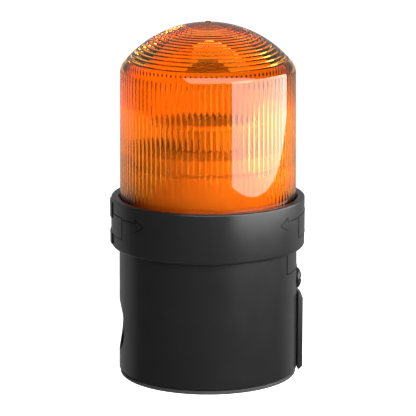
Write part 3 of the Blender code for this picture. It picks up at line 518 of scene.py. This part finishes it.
# %% Collar ring
COLLAR_RADIUS = collar_high.y
COLLAR_INNER = COLLAR_RADIUS - 1.6 * MM
LIP_INNER = LENS_RADIUS + 0.4 * MM
LIP_BOTTOM = collar_high.z - 1.5 * MM
COLLAR_EDGE = 1.2 * MM
COLLAR_TOP_EDGE = 0.6 * MM
collar_profile = [(COLLAR_INNER, collar_low.z), (COLLAR_RADIUS - COLLAR_EDGE, collar_low.z)]
collar_profile += arc((COLLAR_RADIUS - COLLAR_EDGE, collar_low.z + COLLAR_EDGE),
                      COLLAR_EDGE, -75, 0, 8)
collar_profile += arc((COLLAR_RADIUS - COLLAR_TOP_EDGE, collar_high.z - COLLAR_TOP_EDGE),
                      COLLAR_TOP_EDGE, 0, 75, 6)
collar_profile += [(LIP_INNER + 0.3 * MM, collar_high.z - 0.12 * MM),
                   (LIP_INNER, collar_high.z - 0.4 * MM), (LIP_INNER, LIP_BOTTOM),
                   (COLLAR_INNER, LIP_BOTTOM), (COLLAR_INNER, collar_low.z)]
collar = turn_piece("collar", collar_profile, steps=240)
print("collar ring", len(collar.data.polygons), "faces")

# %% Sectors that cut and fill the ring
def sector(name, inner, outer, low, high, middle, half_angle, steps=12):
    """A curved block round the axis; middle is counted from +X towards +Y."""
    corners = [(inner, 0, low), (outer, 0, low), (outer, 0, high), (inner, 0, high), (inner, 0, low)]
    piece = draw_line(name, corners)
    bpy.ops.mesh.select_all(action="SELECT")
    bpy.ops.mesh.remove_doubles(threshold=0.002 * MM)
    bpy.ops.mesh.spin(steps=steps, angle=math.radians(2 * half_angle), center=(0, 0, 0),
                      axis=(0, 0, -1))
    bpy.ops.mesh.select_all(action="SELECT")
    bpy.ops.mesh.fill_holes(sides=0)
    close_surface()
    piece.rotation_euler = (0, 0, math.radians(middle - half_angle))
    bpy.ops.object.transform_apply(location=False, rotation=True, scale=False)
    return piece


def combine(target, other, operation):
    """Cut or join with a Boolean, apply it, and remove the helper."""
    select_none()
    target.select_set(True)
    bpy.context.view_layer.objects.active = target
    modifier = target.modifiers.new("combine", "BOOLEAN")
    modifier.operation = operation
    modifier.object = other
    bpy.ops.object.modifier_apply(modifier=modifier.name)
    bpy.data.objects.remove(other, do_unlink=True)


GRIP_PROUD = 0.5 * MM
GRIP_MARGIN = 1.5 * MM
GRIP_LOW_LAP = 0.2 * MM
GRIP_HIGH_LAP = 2.0 * MM
GRIP_HALF_ANGLE = 9.0
PAD_PROUD = 0.1 * MM
MARK_HALF_ANGLE = 25.6
MARK_HALF_HEIGHT = 3.95 * MM
mark_height = (collar_low.z + collar_high.z) / 2
COLLAR_MIDDLE_WALL = COLLAR_RADIUS - 0.8 * MM
for side in (0, 180):
    pad = sector("pad", COLLAR_MIDDLE_WALL, COLLAR_RADIUS + PAD_PROUD,
                 mark_height - MARK_HALF_HEIGHT, mark_height + MARK_HALF_HEIGHT, side, MARK_HALF_ANGLE)
    combine(collar, pad, "UNION")
for low, high in ((collar_low.z + GRIP_MARGIN, mark_height - MARK_HALF_HEIGHT + GRIP_LOW_LAP),
                  (mark_height + MARK_HALF_HEIGHT - GRIP_HIGH_LAP, collar_high.z - GRIP_MARGIN)):
    grip = sector("grip", COLLAR_MIDDLE_WALL, COLLAR_RADIUS + GRIP_PROUD, low, high, 180,
                  GRIP_HALF_ANGLE)
    combine(collar, grip, "UNION")
print("collar with grip ribs", len(collar.data.polygons), "faces")

# %% Lugs inside the collar
# Three lugs hook under the base's ribs. They climb with the collar's own lift.
LIFT_PER_RADIAN = frame["record"]["behaviour"]["couplings"][0]["ratio"]
neck_seal_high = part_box("neck_seal")[1]
NECK_RADIUS = neck_seal_high.x + 0.2 * MM
LUG_ANGLES = (40, 160, 280)
LUG_BOTTOM = collar_low.z + 4.5 * MM
LUG_HEIGHT = 2.4 * MM
LUG_HALF_SWEEP = 6


def climbing_bar(name, inner, outer, bottom, height, start, sweep):
    """A bar that rises round the axis, spun with a little lift in every step."""
    bar = sector(name, inner, outer, bottom, bottom + height, start + sweep / 2, sweep / 2)
    for point in bar.data.vertices:
        turned = math.atan2(point.co.y, point.co.x) - math.radians(start)
        turned = (turned + math.pi) % math.tau - math.pi
        point.co.z += LIFT_PER_RADIAN * turned
    return bar


for angle in LUG_ANGLES:
    lug = climbing_bar("lug", NECK_RADIUS + 0.3 * MM, COLLAR_INNER + 0.8 * MM,
                       LUG_BOTTOM - LIFT_PER_RADIAN * math.radians(LUG_HALF_SWEEP), LUG_HEIGHT,
                       angle - LUG_HALF_SWEEP, 2 * LUG_HALF_SWEEP)
    combine(collar, lug, "UNION")
smooth(collar, 30)
finish_piece(collar, black_collar, "collar", "collar_plastic", "locking_collar")

# %% Raised lines of the marks
BEAD_RADIUS = 0.17 * MM


def wrap(radius, corners, middle, closed):
    """Lay a flat outline of (degrees, height) corners round a cylinder."""
    ends = corners[1:] + corners[:1] if closed else corners[1:]
    points = []
    for (angle_a, height_a), (angle_b, height_b) in zip(corners, ends):
        pieces = max(1, round(abs(angle_b - angle_a) / 2.5))
        for step in range(pieces):
            share = step / pieces
            angle = math.radians(middle + angle_a + (angle_b - angle_a) * share)
            points.append((radius * math.cos(angle), radius * math.sin(angle),
                           height_a + (height_b - height_a) * share))
    last_angle, last_height = ends[-1]
    angle = math.radians(middle + last_angle)
    points.append((radius * math.cos(angle), radius * math.sin(angle), last_height))
    return points


def bead(name, points, radius=BEAD_RADIUS):
    """A thin round bead along a line: a mesh made a curve, bevelled, and made a mesh again."""
    piece = draw_line(name, points)
    bpy.ops.mesh.select_all(action="SELECT")
    bpy.ops.mesh.remove_doubles(threshold=0.002 * MM)
    bpy.ops.object.mode_set(mode="OBJECT")
    bpy.ops.object.convert(target="CURVE")
    piece.data.bevel_depth = radius
    piece.data.bevel_resolution = 2
    piece.data.use_fill_caps = True
    bpy.ops.object.convert(target="MESH")
    bpy.ops.object.mode_set(mode="EDIT")
    close_surface()
    return bpy.context.object


ARROW_SHAFT = 13.8
ARROW_LENGTH = 20.8
ARROW_RISE = 2.6 * MM
SHAFT_HALF = 0.9 * MM
HEAD_HALF = 2.3 * MM


def arrow(way):
    """Upper shaft line and head of an arrow that leaves the pad, on its left or right."""
    base = way * MARK_HALF_ANGLE
    neck = base + way * ARROW_SHAFT
    tip = base + way * ARROW_LENGTH
    middle = mark_height + ARROW_RISE
    return [(base, middle + SHAFT_HALF), (neck, middle + SHAFT_HALF),
            (neck, middle + HEAD_HALF), (tip, middle), (neck, middle - HEAD_HALF)]


def join_pieces(pieces, name):
    select_none()
    for piece in pieces:
        piece.select_set(True)
    bpy.context.view_layer.objects.active = pieces[0]
    bpy.ops.object.join()
    pieces[0].name = name
    pieces[0].data.name = name
    return pieces[0]


pad_corners = [(-MARK_HALF_ANGLE, mark_height - MARK_HALF_HEIGHT),
               (MARK_HALF_ANGLE, mark_height - MARK_HALF_HEIGHT),
               (MARK_HALF_ANGLE, mark_height + MARK_HALF_HEIGHT),
               (-MARK_HALF_ANGLE, mark_height + MARK_HALF_HEIGHT)]
mark_beads = []
for side in (0, 180):
    mark_beads.append(bead("mark", wrap(COLLAR_RADIUS, pad_corners, side, True)))
    for way in (-1, 1):
        mark_beads.append(bead("mark", wrap(COLLAR_RADIUS, arrow(way), side, False)))
marks = join_pieces(mark_beads, "collar_marks")
smooth(marks, 60)
# The darker copy paints shade along the collar's raised lines.
finish_piece(marks, painted_shade_bead, "collar", "collar_plastic")

# %% [markdown]
# ## Base housing
#
# A thick-walled cup with a narrower neck. The neck carries the ribs that hold the
# collar's lugs, and the wall has the cable entry, the cover's opening and a hole
# for the side screw. Bosses inside take the screws of the plate and of the deck.

# %% Housing shell
base_low, base_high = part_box("base_housing")
plate_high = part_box("base_plate")[1]
deck_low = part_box("contact_deck")[0]
BASE_RADIUS = base_high.y
BASE_TOP_RADIUS = BASE_RADIUS - 0.3 * MM
BASE_INNER = plate_high.x + 0.3 * MM
NECK_INNER = NECK_RADIUS - 2.0 * MM
BASE_SHOULDER = collar_low.z + 2.3 * MM
housing_profile = [(BASE_INNER, base_low.z), (BASE_RADIUS - 0.35 * MM, base_low.z),
                   (BASE_RADIUS, base_low.z + 0.35 * MM)]
for share in (0.25, 0.5, 0.75, 1.0):
    height = base_low.z + (BASE_SHOULDER - 0.4 * MM - base_low.z) * share
    housing_profile.append((BASE_RADIUS - 0.3 * MM * share, height))
housing_profile += [(BASE_TOP_RADIUS - 0.4 * MM, BASE_SHOULDER), (NECK_RADIUS, BASE_SHOULDER),
                    (NECK_RADIUS, base_high.z - 0.2 * MM),
                    (NECK_RADIUS - 0.2 * MM, base_high.z),
                    (NECK_INNER + 0.2 * MM, base_high.z),
                    (NECK_INNER, base_high.z - 0.2 * MM),
                    (NECK_INNER, BASE_SHOULDER - 2 * MM), (BASE_INNER, BASE_SHOULDER - 4 * MM),
                    (BASE_INNER, base_low.z)]
housing = turn_piece("housing", housing_profile, steps=240)
print("housing shell", len(housing.data.polygons), "faces")

# %% Bosses and their webs
BOSS_RADIUS = 3.2 * MM
BOSS_HOLE = 1.7 * MM
BOSS_LENGTH = 9.5 * MM


def add_rod(name, radius, low, high, place=(0, 0), sides=48):
    select_none()
    bpy.ops.mesh.primitive_cylinder_add(vertices=sides, radius=radius, depth=high - low,
                                        location=(place[0], place[1], (low + high) / 2))
    rod = bpy.context.object
    rod.name = name
    bpy.ops.object.transform_apply(location=True, rotation=True, scale=True)
    return rod


def add_boss(angle, circle, low, high, wall, hole_low, hole_high):
    """A screw pillar with a web to the wall, and a blind hole."""
    place = Vector((math.cos(math.radians(angle)), math.sin(math.radians(angle)), 0)) * circle
    combine(housing, add_rod("boss", BOSS_RADIUS, low, high, place), "UNION")
    web = sector("web", circle, wall + 0.8 * MM, low + 0.5 * MM, high - 0.5 * MM, angle,
                 2.6, steps=4)
    combine(housing, web, "UNION")
    combine(housing, add_rod("hole", BOSS_HOLE, hole_low, hole_high, place, 40), "DIFFERENCE")


plate_boss_low = plate_high.z + 0.3 * MM
for angle in (30, 150, 270):
    add_boss(angle, BASE_INNER - 5.6 * MM, plate_boss_low, plate_boss_low + BOSS_LENGTH,
             BASE_INNER, plate_boss_low - 5 * MM, plate_boss_low + BOSS_LENGTH - 1.5 * MM)
deck_boss_high = deck_low.z - 0.3 * MM
for angle in (90, 210, 330):
    add_boss(angle, NECK_INNER - 4.6 * MM, deck_boss_high - BOSS_LENGTH, deck_boss_high,
             NECK_INNER, deck_boss_high - BOSS_LENGTH + 1.5 * MM, deck_boss_high + 5 * MM)
print("housing with bosses", len(housing.data.polygons), "faces")

# %% Ribs that hold the collar
RIB_HEIGHT = 2.0 * MM
RIB_START = 8
RIB_SWEEP = 38
STOP_START = 10.8
STOP_SWEEP = 4
rib_outer = COLLAR_INNER - 1.0 * MM
rib_under = LUG_BOTTOM + LUG_HEIGHT + 0.3 * MM
for angle in LUG_ANGLES:
    rib = climbing_bar("rib", NECK_RADIUS - 0.6 * MM, rib_outer,
                       rib_under - LIFT_PER_RADIAN * math.radians(RIB_START), RIB_HEIGHT,
                       angle - RIB_START, RIB_SWEEP)
    combine(housing, rib, "UNION")
    stop = climbing_bar("stop", NECK_RADIUS - 0.8 * MM, rib_outer - 0.2 * MM,
                        rib_under - LUG_HEIGHT - LIFT_PER_RADIAN * math.radians(STOP_START),
                        LUG_HEIGHT + RIB_HEIGHT / 2, angle - STOP_START, STOP_SWEEP)
    combine(housing, stop, "UNION")
print("housing with ribs", len(housing.data.polygons), "faces")

# %% Openings in the wall
ENTRY_RADIUS = 9.7 * MM
ENTRY_HEIGHT = 17.9 * MM
cover_low, cover_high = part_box("entry_cover")
screw_low, screw_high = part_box("side_screw")


def add_cross_rod(name, radius, near, far, height, sides=64):
    """A rod along X, between two distances from the axis."""
    rod = add_rod(name, radius, near, far, sides=sides)
    rod.rotation_euler = (0, math.radians(90), 0)
    rod.location = (0, 0, height)
    bpy.ops.object.transform_apply(location=True, rotation=True, scale=True)
    return rod


def add_block(name, low, high):
    """A box between two corners, scaled in edit mode so that its object stays unscaled."""
    low, high = Vector(low), Vector(high)
    select_none()
    bpy.ops.mesh.primitive_cube_add(size=1)
    piece = bpy.context.object
    piece.name = name
    piece.data.name = name
    bpy.ops.object.mode_set(mode="EDIT")
    bpy.ops.transform.resize(value=high - low, center_override=(0, 0, 0))
    bpy.ops.transform.translate(value=(low + high) / 2)
    bpy.ops.object.mode_set(mode="OBJECT")
    return piece


combine(housing, add_cross_rod("entry", ENTRY_RADIUS, -BASE_RADIUS - 3 * MM, -BASE_INNER + 3 * MM,
                               ENTRY_HEIGHT), "DIFFERENCE")
combine(housing, add_block("opening", (BASE_INNER - 3 * MM, -4.0 * MM, cover_low.z + 3.6 * MM),
                           (BASE_RADIUS + 3 * MM, 4.0 * MM, cover_high.z - 3.6 * MM)), "DIFFERENCE")
screw_height = (screw_low.z + screw_high.z) / 2
combine(housing, add_cross_rod("screw_hole", 2.3 * MM, BASE_INNER - 3 * MM, BASE_RADIUS + 3 * MM,
                               screw_height, 40), "DIFFERENCE")
smooth(housing, 30)
finish_piece(housing, black_housing, "base", "housing_plastic", "base_housing")

# %% Raised line on the housing
HOUSING_MARK_BOTTOM = 39.7 * MM
HOUSING_MARK_HALF_ANGLE = 32.0
mark_top = collar_low.z + 1.2 * MM
housing_mark = bead("housing_mark", wrap(BASE_TOP_RADIUS + 0.05 * MM, [
    (-HOUSING_MARK_HALF_ANGLE, mark_top), (-HOUSING_MARK_HALF_ANGLE, HOUSING_MARK_BOTTOM),
    (HOUSING_MARK_HALF_ANGLE, HOUSING_MARK_BOTTOM), (HOUSING_MARK_HALF_ANGLE, mark_top)], 0, False),
    0.2 * MM)
smooth(housing_mark, 60)
# The darker copy paints shade along the housing's raised line.
finish_piece(housing_mark, painted_shade_bead, "base", "housing_plastic")

# %% [markdown]
# ## Gasket, cover and side screw
#
# Small parts still need soft edges, because a sharp edge catches no highlight.

# %% Mounting gasket
gasket_low, gasket_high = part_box("mounting_gasket")
gasket_inner = gasket_high.x - 4.1 * MM
gasket_profile = [(gasket_inner, gasket_low.z), (gasket_high.x - 0.4 * MM, gasket_low.z)]
gasket_profile += arc((gasket_high.x - 0.35 * MM, gasket_low.z + 0.35 * MM), 0.35 * MM, -60, 0, 4)
gasket_profile += arc((gasket_high.x - 0.35 * MM, gasket_high.z - 0.35 * MM), 0.35 * MM, 0, 60, 4)
gasket_profile += [(gasket_high.x - 0.4 * MM, gasket_high.z), (gasket_inner, gasket_high.z),
                   (gasket_inner, gasket_low.z)]
gasket = turn_piece("gasket", gasket_profile, steps=192)
smooth(gasket)
finish_piece(gasket, black_rubber, "base", "seal_rubber", "mounting_gasket")

# %% Entry cover
def soften(piece, width, segments=3):
    """Round every sharp edge by a Bevel modifier, and apply it."""
    select_none()
    piece.select_set(True)
    bpy.context.view_layer.objects.active = piece
    modifier = piece.modifiers.new("soften", "BEVEL")
    modifier.width = width
    modifier.segments = segments
    modifier.limit_method = "ANGLE"
    bpy.ops.object.modifier_apply(modifier=modifier.name)


CHAMFER = 1.2 * MM
cover_inner = BASE_RADIUS + 0.02 * MM
cover = add_block("cover", (cover_inner, cover_low.y, cover_low.z),
                  (cover_high.x, cover_high.y, cover_high.z))
bpy.ops.object.mode_set(mode="EDIT")
bpy.ops.mesh.select_mode(type="EDGE")
bpy.ops.mesh.select_all(action="DESELECT")
bpy.ops.object.mode_set(mode="OBJECT")
for edge in cover.data.edges:
    ends = [cover.data.vertices[index].co for index in edge.vertices]
    outer = all(abs(end.x - cover_high.x) < 0.01 * MM for end in ends)
    level = abs(ends[0].z - ends[1].z) < 0.01 * MM
    edge.select = outer and level
bpy.ops.object.mode_set(mode="EDIT")
bpy.ops.mesh.bevel(offset=CHAMFER, segments=1)
bpy.ops.object.mode_set(mode="OBJECT")
plug = add_block("plug", (BASE_INNER, -2.6 * MM, cover_low.z + 5.0 * MM),
                 (cover_inner + 0.3 * MM, 2.6 * MM, cover_high.z - 5.0 * MM))
combine(cover, plug, "UNION")
soften(cover, 0.25 * MM)
smooth(cover)
finish_piece(cover, black_cover, "cover", "cover_plastic", "entry_cover")

# %% Side screw
black_zinc, zinc_tree, zinc_shader = new_finish("black_zinc", (0.02, 0.02, 0.022), 0.35, 0.5)
zinc_tree.links.new(spread(zinc_tree, add_noise(zinc_tree, 900), 0.28, 0.45),
                    zinc_shader.inputs["Roughness"])
SCREW_HEAD_RADIUS = (screw_high.z - screw_low.z) / 2
SLOT_HALF = 0.6 * MM
head_foot = BASE_RADIUS - 0.05 * MM
head_height = screw_high.x - head_foot
screw_profile = [(0, head_foot + head_height)]
for step in range(1, 11):
    angle = math.radians(80 - 8 * (step - 1)) if step < 11 else 0.0
    screw_profile.append((SCREW_HEAD_RADIUS * math.cos(angle),
                          head_foot + head_height * math.sin(angle)))
screw_profile += [(SCREW_HEAD_RADIUS, head_foot), (2.0 * MM, head_foot),
                  (2.0 * MM, screw_low.x + 0.3 * MM), (1.7 * MM, screw_low.x), (0, screw_low.x)]
side_screw = turn_piece("side_screw_head", screw_profile, steps=64)
side_screw.rotation_euler = (0, math.radians(90), 0)
side_screw.location = (0, 0, screw_height)
bpy.ops.object.transform_apply(location=True, rotation=True, scale=True)
slot_block = add_block("slot", (head_foot + head_height * 0.45, -6 * MM, screw_height - SLOT_HALF),
                       (head_foot + 3 * head_height, 6 * MM, screw_height + SLOT_HALF))
combine(side_screw, slot_block, "DIFFERENCE")
soften(side_screw, 0.08 * MM, 2)
smooth(side_screw)
finish_piece(side_screw, black_zinc, "base", "black_steel", "side_screw")

# %% [markdown]
# ## Light unit
#
# A stepped white shell stands under a dark cap, with light boards between them.
# It is only seen through the amber lens, as soft dark and bright bands.

# %% Shell of the light unit
unit_low, unit_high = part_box("led_unit_base")
UNIT_WALL = 1.8 * MM
unit_white = moulded_plastic("unit_white", (0.72, 0.71, 0.68), (0.78, 0.77, 0.74), 0.45)
SKIRT_RADIUS = unit_high.x
DRUM_RADIUS = SKIRT_RADIUS - 3.8 * MM
SKIRT_TOP = unit_high.z - 5.5 * MM
WIRE_HOLE = 5.5 * MM
unit_profile = [(3 * MM, unit_low.z), (SKIRT_RADIUS - 0.5 * MM, unit_low.z),
                (SKIRT_RADIUS, unit_low.z + 0.5 * MM)]
unit_profile += arc((SKIRT_RADIUS - 1 * MM, SKIRT_TOP - 1 * MM), 1 * MM, 0, 90, 5)
unit_profile += arc((DRUM_RADIUS + 0.6 * MM, SKIRT_TOP + 0.6 * MM), 0.6 * MM, 270, 180, 4)
unit_profile += arc((DRUM_RADIUS - 1 * MM, unit_high.z - 1 * MM), 1 * MM, 0, 90, 5)
unit_profile += [(WIRE_HOLE, unit_high.z), (WIRE_HOLE, unit_high.z - UNIT_WALL),
                 (DRUM_RADIUS - UNIT_WALL, unit_high.z - UNIT_WALL),
                 (DRUM_RADIUS - UNIT_WALL, SKIRT_TOP - UNIT_WALL),
                 (SKIRT_RADIUS - UNIT_WALL, SKIRT_TOP - UNIT_WALL),
                 (SKIRT_RADIUS - UNIT_WALL, unit_low.z + UNIT_WALL),
                 (3 * MM, unit_low.z + UNIT_WALL), (3 * MM, unit_low.z)]
unit_shell = turn_piece("unit_shell", unit_profile, steps=144)
for side in (-1, 1):
    combine(unit_shell, add_rod("pin_hole", 1.4 * MM, unit_low.z - 3 * MM, unit_low.z + 4 * MM,
                                (side * 10 * MM, 0), 32), "DIFFERENCE")
smooth(unit_shell)
finish_piece(unit_shell, unit_white, "light_unit", "unit_plastic", "led_unit_base")

# %% Finishes for the pieces that stay as they are
def metal(name, color, roughness):
    """Plated or milled metal with fine streaks in its gloss."""
    material, tree, shader = new_finish(name, color, roughness, 1.0)
    streaks = spread(tree, add_noise(tree, 1500), roughness - 0.08, roughness + 0.12)
    tree.links.new(streaks, shader.inputs["Roughness"])
    tint = spread(tree, add_noise(tree, 300), 0.0, 1.0)
    darker = tuple(value * 0.85 for value in color)
    tree.links.new(blend_colors(tree, tint, color, darker), shader.inputs["Base Color"])
    return material


slot_finishes = {
    "plate_plastic": moulded_plastic("plate_grey", (0.035, 0.035, 0.038), (0.05, 0.05, 0.052), 0.6),
    "deck_plastic": moulded_plastic("deck_grey", (0.25, 0.25, 0.26), (0.3, 0.3, 0.31), 0.55),
    "cap_plastic": moulded_plastic("cap_grey", (0.82, 0.81, 0.79), (0.87, 0.86, 0.84), 0.5),
    "circuit_board": moulded_plastic("board_green", (0.01, 0.12, 0.04), (0.02, 0.18, 0.06), 0.35),
    "light_board": moulded_plastic("board_white", (0.8, 0.8, 0.76), (0.86, 0.86, 0.83), 0.4),
    "capacitor_sleeve": moulded_plastic("sleeve_blue", (0.02, 0.03, 0.13), (0.03, 0.045, 0.18), 0.35),
    "red_insulation": moulded_plastic("wire_red", (0.4, 0.02, 0.015), (0.5, 0.03, 0.02), 0.45),
    "black_insulation": moulded_plastic("wire_black", (0.015, 0.015, 0.015), (0.02, 0.02, 0.02), 0.45),
    "seal_rubber": black_rubber,
    "zinc_steel": metal("bright_zinc", (0.6, 0.6, 0.57), 0.32),
    "brass": metal("turned_brass", (0.7, 0.48, 0.2), 0.28),
    "aluminium": metal("milled_aluminium", (0.68, 0.68, 0.7), 0.35),
}
node_slots = {row["node"]: row["material_slot"] for row in frame["record"]["subparts"]}
for node, thing in frame["nodes"].items():
    finish = slot_finishes.get(node_slots[node])
    if finish:
        thing.data.materials.clear()
        thing.data.materials.append(finish)
print("finished", len(frame["nodes"]), "CAD nodes")
